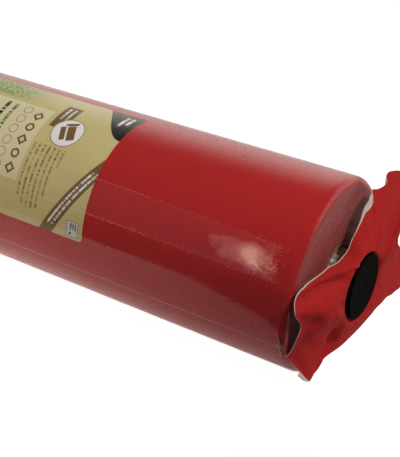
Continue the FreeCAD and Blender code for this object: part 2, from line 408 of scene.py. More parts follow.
def rolled_tissue():
    """The wound web: embossed red round the roll, and the fine, darker edges of the turns on its ends, with
    painted shade over the whole of each end.
    """
    surface = Surface("rolled_tissue")
    u, v = surface.place()
    ridge = twill(surface, u, v, BODY_LEAN)
    fibres = loose_fibres(surface, u, v)
    patches = surface.noise(surface.point(), 14.0)
    on_end = abs(u).step(ROLL_END - 0.5 * MM, ROLL_END + 1.5 * MM)
    turn_edges = (abs(u) * (FULL_TURN / (1.1 * TURN)) + v * (1 / WEB_RADIUS)).sine() * 0.5 + 0.5
    relief = ridge * (1 - on_end) + turn_edges * on_end
    depth = relief * 0.65 + fibres * 0.2 + patches * 0.15
    colour = surface.mix(depth, (0.33, 0.013, 0.013), (0.53, 0.024, 0.024))
    # Painted shade: each end is darkened towards a deep red, for the shade that the sample and the film cast
    # there.
    colour = surface.mix(on_end * 0.3, colour, (0.10, 0.004, 0.004))
    normal = surface.bump(relief * 0.85 + fibres * 0.15, 0.19 * MM)
    return tissue(surface, colour, fibres, normal, gloss=0.15, sheen=0.08)


def white_tissue():
    """The sample's undyed plies: soft off-white with loose fibres."""
    surface = Surface("sample_white")
    u, v = surface.place()
    fibres = loose_fibres(surface, u, v, 1800.0)
    depth = twill(surface, u, v, SAMPLE_LEAN) * 0.4 + fibres * 0.6
    colour = surface.mix(depth, (0.56, 0.47, 0.38), (0.70, 0.61, 0.51))
    return tissue(surface, colour, fibres, surface.bump(depth, 0.1 * MM), gloss=0.1, sheen=0.1)


def film_relief(surface, u, v, gathered):
    """The film's normal: dented by the emboss except over the label, and creased where it gathers."""
    label_edge = LABEL_LOW_ANGLE * FILM_RADIUS
    over_label = u.between(label_low.x, label_high.x, 1 * MM)
    over_label = over_label * v.between(label_edge - LABEL_WIDTH, label_edge, 1 * MM)
    tight = abs(u).step(0.44, 0.54) * 0.75 + 0.25
    dents = dimples(u, v) * (1 - over_label * 0.85) * (1 - gathered * 0.8) * tight
    slack = surface.noise((u * 0.2, v), 60.0, detail=2.0)
    grain = surface.noise((u, v), 300.0, detail=0.0) * tight
    creases = surface.noise((u * 0.4, v * 1.7), 420.0, detail=5.0, roughness=0.65)
    normal = surface.bump(slack, 0.07 * MM)
    normal = surface.bump(dents, 0.02 * MM, Normal=normal)
    normal = surface.bump(grain * (1 - gathered), 0.008 * MM, Normal=normal)
    return surface.bump(creases * gathered, 0.3 * MM, Normal=normal)


def clear_film(name, haze_at_ends=0.0, haze=0.0):
    """Clear shrink film, which mirrors more at a slant and clouds in streaks where it gathers."""
    surface = Surface(name)
    u, v = surface.place()
    gathered = abs(u).step(ROLL_END + 2.0 * MM, ROLL_END + 3.6 * MM)
    normal = film_relief(surface, u, v, gathered)
    facing = Number(surface, surface.node("LayerWeight").outputs["Facing"])
    face_on, at_a_slant = 0.02, 0.5
    mirror = (facing.power(5.0) * (at_a_slant - face_on) + face_on) * (1 - gathered * 0.6)
    gloss = surface.shader("BsdfAnisotropic", Roughness=gathered * 0.12 + 0.03, Normal=normal)
    cloud = surface.shader("BsdfDiffuse", Color=(0.85, 0.82, 0.80), Normal=normal)
    streaks = surface.noise((u * 0.3, v * 1.4), 520.0, roughness=0.6)
    near_rim = 1 - abs(u).step(ROLL_END + 3 * MM, ROLL_END + 26 * MM)
    cloud_share = gathered * (streaks.step(0.60, 0.70) * haze_at_ends + near_rim * 0.02 + 0.001) + haze
    body = surface.blend(cloud_share, surface.shader("BsdfTransparent"), cloud)
    return surface.finish(surface.blend(mirror, body, gloss))


def kraft_board(name, pitch):
    """Paperboard wound in a spiral: brown fibres, and a fine dark seam once in each pitch."""
    surface = Surface(name)
    u, v = surface.place()
    seam = abs((u * (1 / pitch) + v * (1 / (FULL_TURN * CORE_RADIUS))).fraction() - 0.5)
    gap = 1 - seam.step(0.0, 0.012)
    fibres = surface.noise((u * 0.35, v), 1500.0, detail=5.0, roughness=0.7)
    blotches = surface.noise(surface.point(), 90.0)
    brown = surface.mix(fibres * 0.6 + blotches * 0.4, ink(96, 66, 42), ink(158, 124, 90))
    colour = surface.mix(gap * 0.6, brown, ink(60, 40, 26))
    normal = surface.bump(fibres * 0.5 + (1 - gap) * 0.5, 0.12 * MM)
    return surface.coat(colour, fibres, (0.75, 0.90), normal, Specular_IOR_Level=0.2)


def black_plastic():
    """Fine matt moulded plastic, a little paler and rougher in soft patches."""
    surface = Surface("black_plastic")
    patches = surface.noise(surface.point(), 90.0)
    colour = surface.mix(patches, (0.0018, 0.0018, 0.0018), (0.003, 0.003, 0.003))
    normal = surface.bump(surface.noise(surface.point(), 2600.0, detail=2.0), 0.02 * MM)
    return surface.coat(colour, patches, (0.70, 0.85), normal, Specular_IOR_Level=0.02)


def amber_glue():
    """Hot-melt glue: glossy amber, lighter and a little rougher where its surface stands up."""
    surface = Surface("amber_glue")
    flow = surface.noise(surface.point(), 500.0, detail=2.0)
    colour = surface.mix(flow, ink(130, 74, 0), ink(186, 112, 0))
    return surface.coat(colour, flow, (0.2, 0.4), surface.bump(flow, 0.1 * MM), Specular_IOR_Level=0.1)


def clear_tape():
    """Double-sided tape: pale satin film with tiny bubbles."""
    surface = Surface("clear_tape")
    bubbles = surface.noise(surface.point(), 700.0, detail=2.0).step(0.6, 0.7)
    colour = surface.mix(bubbles, (0.55, 0.50, 0.38), (0.72, 0.69, 0.60))
    return surface.coat(colour, bubbles, (0.3, 0.5), surface.bump(bubbles, 0.03 * MM))


# ---------------- the label's print


# How far the print's edges blur to each side, in mm, and its colours.
PRINT_SOFTNESS = 0.16
UMBER = ink(118, 93, 52)
CREAM = ink(222, 214, 178)
BLACK = ink(22, 24, 24)
PALE = ink(232, 230, 224)
LEAF = ink(70, 120, 30)


class Print:
    """The label's print: shapes laid over a ground. Sizes are in mm from the label's +X and upper edges."""

    def __init__(self):
        self.surface = Surface("printed_paper")
        u, v = self.surface.place()
        self.u, self.v = u * (1 / MM), v * (1 / MM)
        self.fibre = self.surface.noise((u, v), 1500.0, detail=4.0)
        cloud = self.surface.noise((u, v), 30.0)
        self.colour = self.surface.mix(cloud, ink(196, 180, 118), ink(208, 196, 140))

    def lay(self, mask, colour):
        """Lay a colour over the print where a mask is 1."""
        self.colour = self.surface.mix(mask, self.colour, colour)

    def draw(self, distance, colour, share=1.0):
        """Lay a share of a colour where a signed distance in mm is negative."""
        self.lay((1 - distance.step(-PRINT_SOFTNESS, PRINT_SOFTNESS)) * share, colour)

    def box(self, u, v, half_u, half_v, turn=0):
        """The signed distance to a box about a centre, turned by an angle in degrees."""
        across, down = self.u - u, self.v - v
        if turn:
            cosine, sine = math.cos(math.radians(turn)), math.sin(math.radians(turn))
            across, down = across * cosine + down * sine, down * cosine - across * sine
        return (abs(across) - half_u).larger(abs(down) - half_v)

    def disc(self, u, v, radius):
        """The signed distance to a disc."""
        across, down = self.u - u, self.v - v
        return (across * across + down * down).power(0.5) - radius

    def words(self, seed, along, low=0.45):
        """A mask of uneven dashes along a direction, which stand for letters."""
        letters = self.surface.noise((along, seed), 1.1, detail=1.0)
        return letters.step(low, low + 0.03)

    def ribbon(self):
        """The brown ribbon that crosses the lower corner, with two rows of pale marks."""
        slope, upper, lower = 0.612, 47.8, 65.0
        edge = (self.u - (self.v - upper) * slope).larger((self.v - lower) * slope - self.u)
        self.draw(edge, UMBER)
        for row, offset in enumerate((53.4, 59.2)):
            marks = abs(self.u - (self.v - offset) * slope) - 0.95
            along = self.words(row + 3, self.v * 1.1 + self.u * 0.6)
            self.draw(marks, PALE, along * self.v.between(59.0, 99.0, 1.0))

    def tab(self):
        """The black tab in the upper corner, with plain pale marks."""
        wave = ((self.u * (math.pi / 29)).smaller(math.pi) + math.pi / 2).sine() * 0.5 + 0.5
        edge = self.v - wave.power(0.6) * 32
        self.draw(edge.larger(self.u - 28.9), BLACK)
        for row, (place, middle, half) in enumerate(((6.4, 10.25, 5.25), (10.6, 11.75, 6.75))):
            marks = self.box(place, middle, 1.3, half)
            self.draw(marks, PALE, self.words(row + 11, self.v * 1.1, 0.42))

    def badge(self):
        """The pale disc with a brown rim, a drawing of a covered table, and the brown tab over it."""
        self.draw(self.box(48.4, 24.7, 6.1, 11.7).larger(-self.disc(38.2, 37.4, 12.2)), UMBER)
        for row, place in enumerate((46.4, 50.6)):
            marks = self.box(place, 22.0, 0.9, 6.4)
            self.draw(marks, PALE, self.words(row + 21, self.v * 1.4))
        disc = self.disc(38.2, 37.4, 11.9)
        self.draw(disc, UMBER)
        self.draw(disc + 0.5, PALE)
        tilt = 24
        top = self.box(35.6, 36.6, 2.9, 7.0, tilt)
        front = self.box(41.2, 39.0, 1.9, 5.6, tilt)
        side = self.box(38.6, 30.2, 4.6, 1.0, tilt)
        self.draw(top.smaller(front).smaller(side), UMBER)
        self.draw(self.box(38.9, 37.8, 0.2, 6.6, tilt), PALE)
        self.draw(self.box(37.4, 31.6, 4.4, 0.2, tilt), PALE)

    def small_print(self):
        """Lines of dashes that stand for the small print, which run round the roll."""
        for row, length in enumerate((12, 33, 42, 43, 43, 42, 37)):
            marks = self.box(31.0 + 4.0 * row, 51.0 + length / 2, 0.8, length / 2)
            gaps = self.words(row + 31, self.v * 0.5, 0.34)
            strokes = self.words(row + 41, self.v * 1.6 + self.u * 0.4, 0.47)
            self.draw(marks, UMBER, gaps * strokes * 0.9)

    def mark(self):
        """The small framed box near the corner, with plain bars in it."""
        self.draw(self.box(8.0, 98.1, 4.7, 5.2), ink(120, 116, 104))
        self.draw(self.box(8.0, 98.1, 4.3, 4.8), ink(206, 205, 200))
        for row in range(3):
            bar = self.box(5.4 + 1.9 * row, 96.4, 0.5, 2.2)
            self.draw(bar, BLACK, self.words(row + 51, self.v * 2.0, 0.4))
        self.draw(self.disc(9.6, 101.0, 0.9), BLACK)

    def panel(self):
        """The cream panel, with a column of plain brown shapes beside finer outlines."""
        self.draw(self.box(104.0, 51.4, 45.5, 28.1), CREAM, 0.75)
        for row in range(5):
            place = 32.0 + 10.2 * row
            shape = self.disc(66.5, place, 3.4) if row % 2 else self.box(66.5, place, 3.0, 3.0, 45)
            self.draw(shape.larger(-(shape + 1.5)), UMBER)
        for row in range(6):
            self.draw(abs(self.disc(77.5, 29.0 + 8.8 * row, 3.2)) - 0.22, UMBER)
        for row, (place, colour) in enumerate(((88.5, LEAF), (95.5, BLACK))):
            self.draw(self.box(place, 45.0, 1.5, 19.0), colour, self.words(row + 61, self.v * 0.9))

    def grass(self):
        """A strip of grass along the upper edge, which fades towards the badge, and three stalks."""
        blades = self.surface.noise((self.u * 0.9 + self.v * 0.35, self.v * 0.22), 0.9)
        tone = self.surface.mix(blades.step(0.35, 0.65), ink(44, 84, 4), ink(168, 184, 66))
        fade = self.u.step(62.0, 112.0) * (1 - self.v.step(16.0, 24.0)) * (1 - self.u.step(180.0, 206.0))
        self.lay(fade * 0.95, tone)
        up = self.v - 44.0
        within = (1 - self.v.step(38.0, 44.0)) * 0.7
        for start, bend in ((99.0, 0.0096), (94.0, 0.012), (105.0, 0.0066)):
            self.draw(abs(self.u - start + up * up * bend) - 0.12, UMBER, within)

    def finish(self):
        colour = self.surface.mix(self.fibre * 0.12, self.colour, ink(120, 110, 80))
        normal = self.surface.bump(self.fibre, 0.015 * MM)
        return self.surface.coat(colour, self.fibre, (0.42, 0.52), normal, Specular_IOR_Level=0.0)


def printed_paper():
    """The label's paper with all of its print."""
    label = Print()
    parts = (label.grass, label.panel, label.ribbon, label.small_print, label.badge, label.tab, label.mark)
    for part in parts:
        part()
    return label.finish()


# ---------------- the roll


def spiral_radius(angle):
    """The web's outer radius at an angle, which grows by a turn's thickness on its way to the tail."""
    return WEB_RADIUS - TURN * (1 - np.mod(angle - TAIL_ANGLE, FULL_TURN) / FULL_TURN)


def roll_angles(columns):
    """Angles once round the roll, which start and end at the tail's step."""
    return TAIL_ANGLE + np.linspace(0, FULL_TURN, columns + 1)[None, :]


def roll_path(half_length, radius, inner, end_rows, side_rows):
    """The outline of a drum from one end's opening to the other's, and each point's distance along it."""
    low, high = -half_length + RIM_ROUND, half_length - RIM_ROUND
    shoulder = radius - RIM_ROUND
    outline = np.concatenate(
        [
            np.linspace((-half_length, inner), (-half_length, shoulder), end_rows)[:-1],
            arc((low, shoulder), RIM_ROUND, 180, 90, 13),
            np.linspace((low, radius), (high, radius), side_rows)[1:-1],
            arc((high, shoulder), RIM_ROUND, 90, 0, 13),
            np.linspace((half_length, shoulder), (half_length, inner), end_rows)[1:],
        ]
    )
    path = distances(outline)[:, None]
    return outline[:, :1], outline[:, 1:], path - path[-1] / 2


def wound_web(material):
    """The wound tissue: its embossed side with the tail's step, and ends of slightly uneven turns."""
    bore = CORE_RADIUS + 0.15 * MM
    x, radius, path = roll_path(ROLL_END, WEB_RADIUS, bore, 70, 180)
    angle = roll_angles(360)
    off_the_step = 1e-5
    angle[0, 0] += off_the_step
    angle[0, -1] -= off_the_step
    share = (radius - bore) / (WEB_RADIUS - bore)
    dents = ripples(angle, x, (1, 7), (0.05, 0.25), 24, 5) * 0.05 * MM * blend_in(share, 0.9, 1)
    radius = bore + share * (spiral_radius(angle) - bore) + dents
    turns = ripples(angle, radius, (0, 2), (1.6 * MM, 7 * MM), 16, 8)
    waves = ripples(angle, radius, (1, 5), (20 * MM, 60 * MM), 8, 9)
    on_end = 1 - blend_in(share, 0.78, 0.9)
    x = x - np.sign(x) * on_end * (np.abs(turns) + np.abs(waves)) * 0.12 * MM
    points = on_axis(x, radius, angle)
    index = numbered(points)
    bore_faces = quads(np.stack([index[0], index[-1]]))
    tail_step = quads(index[:, [0, -1]])
    places = pairs(path, (angle - TAIL_ANGLE) * WEB_RADIUS)
    piece = build("wound_tissue", points, [quads(index), bore_faces, tail_step], places, material)
    settle(piece, "red_tissue", "roll", "wound_web")


def film_over_web(angle):
    """The film's radius over the web, which eases over the tail's step."""
    from_tail = np.mod(angle - TAIL_ANGLE + math.pi, FULL_TURN) - math.pi
    eased = WEB_RADIUS - TURN * blend_in(from_tail * WEB_RADIUS, -0.6 * MM, 1.2 * MM)
    off_the_step, near_tail = 1e-6, 0.1
    settled = spiral_radius(angle - off_the_step * np.sign(from_tail))
    return np.where(np.abs(from_tail) < near_tail, eased, settled) + FILM_OVER_WEB


def film_sleeve(material):
    """The shrink film: tight over the roll's side, and gathered in fine creases round both openings."""
    x, radius, path = roll_path(ROLL_END + 0.2 * MM, WEB_RADIUS, FILM_OPENING, 46, 120)
    angle = roll_angles(420)
    share = (radius - FILM_OPENING) / (WEB_RADIUS - FILM_OPENING)
    ragged = ripples(angle, 0, (2, 14), (1, 2), 10, 21) * 0.7 * MM * (1 - share)
    radius = FILM_OPENING + share * (film_over_web(angle) - FILM_OPENING) + ragged
    gathered = (1 - share) ** 0.8 * blend_in(1 - share, 0.08, 0.4)
    creases = ripples(angle, radius, (38, 74), (14 * MM, 60 * MM), 22, 22) * 0.16 * MM
    puffs = ripples(angle, radius, (3, 12), (9 * MM, 30 * MM), 16, 23) * 0.22 * MM
    lift = gathered * (np.abs(creases) + np.abs(puffs))
    slack = ripples(angle, x, (2, 9), (0.02, 0.1), 20, 24) * 0.03 * MM * blend_in(share, 0.9, 1)
    outer = on_axis(x + np.sign(x) * lift, radius + slack, angle)
    lip = 0.22 * MM * np.exp(-60 * share)
    inner = outer + normals(outer) * (0.08 * MM + lip)[..., None]
    places = pairs(path, angle * FILM_RADIUS)
    piece = slab("clear_film", outer, inner, places, material, wrapped=True)
    settle(piece, "shrink_film", "roll", "film_sleeve")


def paper_label(material):
    """The printed label, a rounded rectangle that lies on the web under the film."""
    corner = 3 * MM
    ends = corner * (1 - np.cos(np.linspace(0, math.pi / 2, 7)))
    middle = np.linspace(corner, LABEL_WIDTH - corner, 90)[1:-1]
    down = np.concatenate([ends, middle, LABEL_WIDTH - ends[::-1]])[:, None]
    cut_in = corner - np.minimum(down, LABEL_WIDTH - down)
    inset = np.where(cut_in > 0, corner - np.sqrt(np.maximum(corner**2 - cut_in**2, 0)), 0)
    along = inset + np.linspace(0, 1, 121)[None, :] * (LABEL_LENGTH - 2 * inset)
    angle = LABEL_LOW_ANGLE - (LABEL_WIDTH - down) / FILM_RADIUS
    lift = ripples(angle, along, (2, 8), (0.04, 0.12), 12, 31) * 0.01 * MM
    radius = spiral_radius(angle) + 0.06 * MM + lift
    inner = on_axis(label_high.x - along, radius, angle)
    outer = on_axis(label_high.x - along, radius + 0.15 * MM, angle)
    piece = slab("printed_label", outer, inner, pairs(along, down), material)
    settle(piece, "label_paper", "roll", "paper_label")


def core_ply(node, inner, outer, material, mouth=0.0):
    """One layer of the paperboard core, with softened and slightly fuzzy cut ends."""
    end, edge, depth = CORE_END, 0.15 * MM, 24 * MM
    profile = [
        (-end, inner + edge), (-end + edge, inner), (0, inner),
        (end - depth - 1 * MM, inner), (end - depth, inner + mouth), (end - edge, inner + mouth),
        (end, inner + mouth + edge), (end, outer - edge), (end - edge, outer), (0, outer),
        (-end + edge, outer), (-end, outer - edge), (-end, inner + edge),
    ]

    def fuzz(x, radius, angle):
        frayed = np.abs(ripples(angle, radius, (20, 90), (0.5 * MM, 3 * MM), 14, 41)) * 0.12 * MM
        return x - np.sign(x) * frayed * (np.abs(x) > end - 1 * MM), radius

    settle(turned(f"{node}_board", profile, 180, material, fuzz), "kraft_board", "roll", node)


def film_seam(material):
    """The sleeve's lap seal, a narrow strip crimped across its width."""
    along = np.linspace(seam_low.x, seam_high.x, 900)[:, None]
    start = math.atan2(seam_low.z, math.sqrt(FILM_RADIUS**2 - seam_low.z**2))
    width, margin, crimp_pitch = 6 * MM, 0.2 * MM, 2.4 * MM
    across = np.linspace(0, 1, 9)[None, :]
    wander = ripples(0, along, (0, 0), (0.05, 0.3), 8, 51) * 0.25 * MM
    angle = start + (margin + across * (width - 2 * margin) + wander) / FILM_RADIUS
    crimp = (0.5 + 0.5 * np.sin(along * FULL_TURN / crimp_pitch)) * 0.12 * MM * np.sin(across * math.pi)
    radius = spiral_radius(angle) + FILM_OVER_WEB + 0.02 * MM
    inner = on_axis(along, radius, angle)
    outer = on_axis(along, radius + 0.1 * MM + crimp, angle)
    piece = slab("lap_seal", outer, inner, pairs(along, angle * FILM_RADIUS), material)
    settle(piece, "shrink_film", "roll", "film_seam")


def glue_bead(material):
    """The bead of glue by the tail: a flattened, lumpy run between the web's rim and the film."""
    middle = GLUE_END + 0.8 * MM
    share = np.linspace(0, 1, 60)[:, None]
    around = np.linspace(0, FULL_TURN, 17)[None, :]
    start, end = math.radians(183.5), math.radians(204.0)
    angle = start + share * (end - start)
    lumps = 1 + 0.25 * ripples(0, share, (0, 0), (0.1, 0.4), 6, 61)
    taper = np.sqrt(np.clip(np.sin(share * math.pi), 0, 1)) * lumps
    wander = 0.4 * MM * ripples(0, share, (0, 0), (0.3, 0.9), 4, 62)
    x = middle + 0.85 * MM * taper * np.cos(around) + wander
    radius = spiral_radius(angle) + 0.18 * MM + 0.16 * MM * taper * np.sin(around)
    points = on_axis(x, radius, angle)
    places = pairs(share * 22 * MM, around * MM)
    piece = build("glue_run", points, [quads(numbered(points))], places, material)
    settle(piece, "amber_glue", "roll", "tail_glue_bead")


# ---------------- the plug and the cloth sample


def prism(name, outline, start, end):
    """A closed prism along X from an outline of (y, z) points, as a bare object."""
    work = bmesh.new()
    ring = [work.verts.new((start, y, z)) for y, z in outline]
    face = work.faces.new(ring)
    grown = bmesh.ops.extrude_face_region(work, geom=[face])
    moved = [item for item in grown["geom"] if isinstance(item, bmesh.types.BMVert)]
    bmesh.ops.translate(work, verts=moved, vec=(end - start, 0, 0))
    bmesh.ops.recalc_face_normals(work, faces=work.faces)
    mesh = bpy.data.meshes.new(name)
    work.to_mesh(mesh)
    work.free()
    return placed(name, mesh)


def ribs_outline(hub, rib, reach):
    """The outline of a round hub with four ribs."""
    corner = math.asin(rib / hub)
    points = []
    for quarter in range(4):
        turn = quarter * math.pi / 2
        for y, z in ((reach, -rib), (reach, rib)):
            points.append((y * math.cos(turn) - z * math.sin(turn), y * math.sin(turn) + z * math.cos(turn)))
        for angle in np.linspace(turn + corner, turn + math.pi / 2 - corner, 7):
            points.append((hub * math.cos(angle), hub * math.sin(angle)))
    return points


def core_plug(material):
    """The plug: a slightly dished head with a soft rim, and a hollow shank with a hub and ribs."""
    front, rear = plug_high.x, plug_low.x
    head, shank, wall = 20.8 * MM, 16.5 * MM, 2 * MM
    back, rounding = front - HEAD_THICKNESS, 0.7 * MM
    profile = np.concatenate(
        [
            [(front - 0.25 * MM, 0), (front - 0.25 * MM, 1.0 * MM), (front - 0.12 * MM, 1.3 * MM)],
            [(front - 0.12 * MM, 6 * MM), (front - 0.05 * MM, 14 * MM), (front, head - 2.2 * MM)],
            arc((front - rounding, head - rounding), rounding, 0, 90, 8),
            [(back + 0.2 * MM, head), (back, head - 0.2 * MM)],
            [(back, shank + 0.6 * MM), (back - 0.6 * MM, shank), (rear + 1 * MM, shank)],
            [(rear, shank - 1 * MM), (rear, shank - wall), (back, shank - wall), (back, 0)],
        ]
    )
    piece = turned("end_plug", profile, 144, material)
    ribs = prism("plug_ribs", ribs_outline(3 * MM, 0.8 * MM, shank - wall / 2), rear + 3 * MM, back + 1 * MM)
    union = piece.modifiers.new("ribs", "BOOLEAN")
    union.operation = "UNION"
    union.solver = "EXACT"
    union.object = ribs
    bpy.context.view_layer.update()
    joined = bpy.data.meshes.new_from_object(piece.evaluated_get(bpy.context.evaluated_depsgraph_get()))
    piece.modifiers.clear()
    piece.data = joined
    bpy.data.objects.remove(ribs)
    joined.shade_smooth()
    joined.set_sharp_from_angle(angle=SMOOTH_ANGLE)
    settle(piece, "black_plastic", "plug", "core_plug")


# The sample's border: for each point, the angle round the neck that its cloth comes from, its y and z,
# its x from the roll's end, how far the white plies show past the red along y and z, in degrees and mm,
# and 1 if it is a sharp corner.
BORDER = (
    (204, -59, -22, -0.5, -0.2, 0.1, 1),
    (191, -58, -5, 5, -0.4, 0.2, 0),
    (183, -57, 2, 5.5, -0.4, 0.2, 0),
    (172, -62.8, 13, 5.5, -0.3, 0.2, 0),
    (163, -59, 19.5, 3.5, -0.5, 0.4, 0),
    (153, -52, 23, 3.5, -0.6, 1.6, 0),
    (135, -30, 24, 5.5, -0.3, 1, 0),
    (108, -8, 24, 7.5, -0.3, 0.7, 0),
    (91, 2.5, 32, 8.5, -0.7, 0.5, 0),
    (83, 12.7, 36.3, 8, -2.8, 0.6, 0),
    (77, 17.8, 39.4, 8, -3.4, 4, 0),
    (71, 23.5, 39.6, 8, -5, 6.4, 0),
    (67, 28, 41.2, 7.6, -5, 6.6, 0),
    (63, 33.7, 47, 5, -0.1, 0.1, 0),
    (61, 36.7, 46, 6, 0, 0.1, 0),
    (58, 41.1, 46.7, 8, 0, 0.1, 0),
    (56, 44.6, 48.4, 9, 0, 0.1, 0),
    (53, 48.1, 50.6, 7.5, 0, 0.1, 0),
    (50, 52.9, 50.8, 7, 0, 0.1, 0),
    (46, 61.1, 48.4, 8, 0, 0.1, 0),
    (42, 68.2, 45, 9, 0.1, 0.1, 1),
    (34, 65, 27.5, 15, 0.1, 0, 0),
    (26, 45, 20, 21.5, 0.1, 0, 0),
    (15, 36, 14, 23.5, 0.1, 0, 0),
    (5, 42, 7, 23.5, 0.1, 0, 0),
    (-4, 54, -1, 20, 0.1, 0, 0),
    (-15, 71, -14, 21, 0.1, 0, 1),
    (-25, 66, -32, 23, 0, 0, 1),
    (-39, 51, -30.5, 23, 0, 0, 0),
    (-56, 32, -29.5, 21, 0, 0, 0),
    (-92, -3, -37, 15.5, 0, 0, 0),
    (-118, -28, -39, 11.5, 0, 0, 0),
    (-134, -45, -46.5, 9.5, -0.1, -0.1, 1),
    (-141, -48.6, -41.6, 7.4, -2.4, -0.8, 0),
    (-146, -51.2, -36.8, 5.4, -4.2, 0.5, 0),
    (-148, -51.8, -35.4, 4.8, -0.2, 0.1, 0),
)

# The sample's folds, as lines from its neck to its border: the angle round the neck at the lip, midway
# and at the border, and how high the line stands halfway out, in degrees and mm.
FOLDS = (
    (16, 16, 16, 0.6),
    (36, 36, 36, -0.6),
    (58, 56, 54, 0.5),
    (84, 86, 88, 0),
    (112, 118, 122, 3.8),
    (143, 148, 163, -5),
    (152, 160, 171, 1.2),
    (190, 182, 190, 4.4),
    (205, 211, 216, -1.8),
    (214, 234, 238, -8),
    (221, 245, 249, -1.5),
    (234, 257, 262, 0),
    (300, 300, 300, 0.4),
    (345, 345, 345, -0.6),
)

# Small dents by the plug: the angle round the neck, the share of the way out, the half width in degrees,
# the half length as a share, and the depth in mm.
DENTS = (
    (53, 0.12, 4.5, 0.10, 2.4),
    (70, 0.20, 3, 0.05, 0.9),
    (92, 0.10, 3.5, 0.05, 0.8),
    (176, 0.14, 9, 0.07, 1.4),
)

# How many rows of points the sample has between its rings, which run from the pocket's centre to its hem,
# and the rows where its pocket's wall, its neck and its lip are.
RING_ROWS = (3, 3, 3, 8, 8, 5, 5, 4, 22, 22)
POCKET_WALL_ROW = sum(RING_ROWS[:3])
NECK_ROW = sum(RING_ROWS[:6])
LIP_ROW = sum(RING_ROWS[:8])
NECK_RADIUS = 17.6 * MM
LIP_RADIUS = 22.6 * MM
PLEATS = 22
HEM = 3.0 * MM


def sample_border(columns):
    """Even steps along the sample's border.

    For each, its point, its cloth's angle round the neck, and how far the white plies show past it.
    """
    neck_angle, y, z, x, show_y, show_z, sharp = np.array(BORDER + BORDER[:1]).T
    neck_angle = np.degrees(np.unwrap(np.radians(neck_angle)))
    knots = np.stack([x * MM + ROLL_END, y * MM, z * MM], axis=1)
    place = distances(knots)
    lengths = np.diff(place)
    chord = np.roll(knots[:-1], -1, axis=0) - np.roll(knots[:-1], 1, axis=0)
    slopes = chord / (np.roll(lengths, 1) + lengths)[:, None] * (1 - sharp[:-1, None])
    slopes = np.vstack([slopes, slopes[:1]])
    wanted = np.linspace(0, place[-1], columns + 1)
    span = np.clip(np.searchsorted(place, wanted, side="right") - 1, 0, len(lengths) - 1)
    reach = lengths[span][:, None]
    t = (wanted - place[span])[:, None] / reach
    points = cubic(t, knots[span], slopes[span] * reach, knots[span + 1], slopes[span + 1] * reach)
    shows = [np.interp(wanted, place, show) * MM for show in (0 * show_y, show_y, show_z)]
    return points, np.interp(wanted, place, neck_angle), np.stack(shows, axis=1)


def end_clearance(radius):
    """How far out the film's end and its creases reach at a distance from the axis."""
    drop = np.clip(radius - (WEB_RADIUS + FILM_OVER_WEB - RIM_ROUND), 0, RIM_ROUND * 0.999)
    return ROLL_END - RIM_ROUND + np.sqrt(RIM_ROUND**2 - drop**2) + 1.2 * MM


def sample_middle(border, neck_angle):
    """The sample's red surface, in rows from the pocket's centre out to the border."""
    neck = np.radians(neck_angle)
    floor_x = plug_low.x - 0.4 * MM
    head_back = plug_high.x - HEAD_THICKNESS
    lip_x = head_back + 1.2 * MM + 0.9 * MM * np.cos(neck - math.radians(10))
    lip = on_axis(lip_x, LIP_RADIUS, neck)
    outward = (border - lip) / np.linalg.norm(border - lip, axis=1, keepdims=True)
    start = border - outward * HEM
    middle = (lip + start) / 2
    middle[:, 0] += 1.0 * MM
    pocket = (
        (floor_x, 0), (floor_x, 9 * MM), (floor_x, 15.4 * MM), (floor_x + 1.8 * MM, NECK_RADIUS),
        (floor_x + 16 * MM, NECK_RADIUS), (head_back - 5 * MM, NECK_RADIUS),
        (head_back - 1.6 * MM, 18.2 * MM), (head_back - 0.8 * MM, 20.9 * MM),
    )
    rings = [on_axis(x, radius, neck) for x, radius in pocket]
    surface = add_folds(spline(np.stack([*rings, lip, middle, start]), RING_ROWS), neck_angle)
    along = np.linspace(0, HEM, 7)[1:, None, None]
    return np.concatenate([surface, surface[-1] + outward * along])


def add_folds(surface, neck_angle):
    """Press the pocket's pleats, the gathers round the neck and the larger folds into the surface."""
    neck = np.radians(neck_angle)
    travel = np.linalg.norm(surface - surface[LIP_ROW], axis=-1)
    radius = np.hypot(surface[..., 1], surface[..., 2])
    row = np.arange(len(surface))[:, None]
    outside = row >= LIP_ROW
    pleat = np.sin(PLEATS * neck + 1.5 * np.sin(3 * neck + 1) + 0.8 * np.sin(5 * neck))
    in_pocket = blend_in(radius, 6 * MM, 16 * MM) * (1 - blend_in(radius, 18.3 * MM, 20.3 * MM)) * ~outside
    depth = pleat * in_pocket * 0.75 * MM * np.where(row < POCKET_WALL_ROW, 0.3, 1)
    surface = surface + on_axis(0, 1, neck) * depth[..., None]
    share = np.where(outside, travel / travel[-1], 0)
    gathers = pleat * 0.3 * MM * np.exp(-(((travel - 5 * MM) / (4 * MM)) ** 2)) * outside
    waves = 0.25 * MM * ripples(neck, travel, (4, 13), (9 * MM, 26 * MM), 14, 71) * share * outside
    surface[..., 0] += gathers + fold_heights(neck_angle, share) * MM + waves
    return surface


def fold_heights(neck_angle, share):
    """How far each point of the sample stands forward for its folds and dents, in mm."""
    heights = [line[3] for line in FOLDS]
    rise = np.empty_like(share)
    for row, out in enumerate(share.mean(axis=1)):
        angles = [np.interp(out, (0, 0.5, 1), line[:3]) for line in FOLDS]
        rise[row] = np.interp(neck_angle, angles, heights, period=360)
    for _ in range(2):
        rise[:, 1:-1] = (rise[:, :-2] + rise[:, 1:-1] + rise[:, 2:]) / 3
        rise[:, 0] = rise[:, -1] = (rise[:, 1] + rise[:, -2]) / 2
    rise = rise * blend_in(share, 0, 0.34) * (1 - 0.8 * blend_in(share, 0.62, 1.0))
    for angle, middle, width, length, depth in DENTS:
        turn = np.mod(neck_angle - angle + 180, 360) - 180
        rise = rise - depth * np.exp(-((turn / width) ** 2) - ((share - middle) / length) ** 2)
    return rise


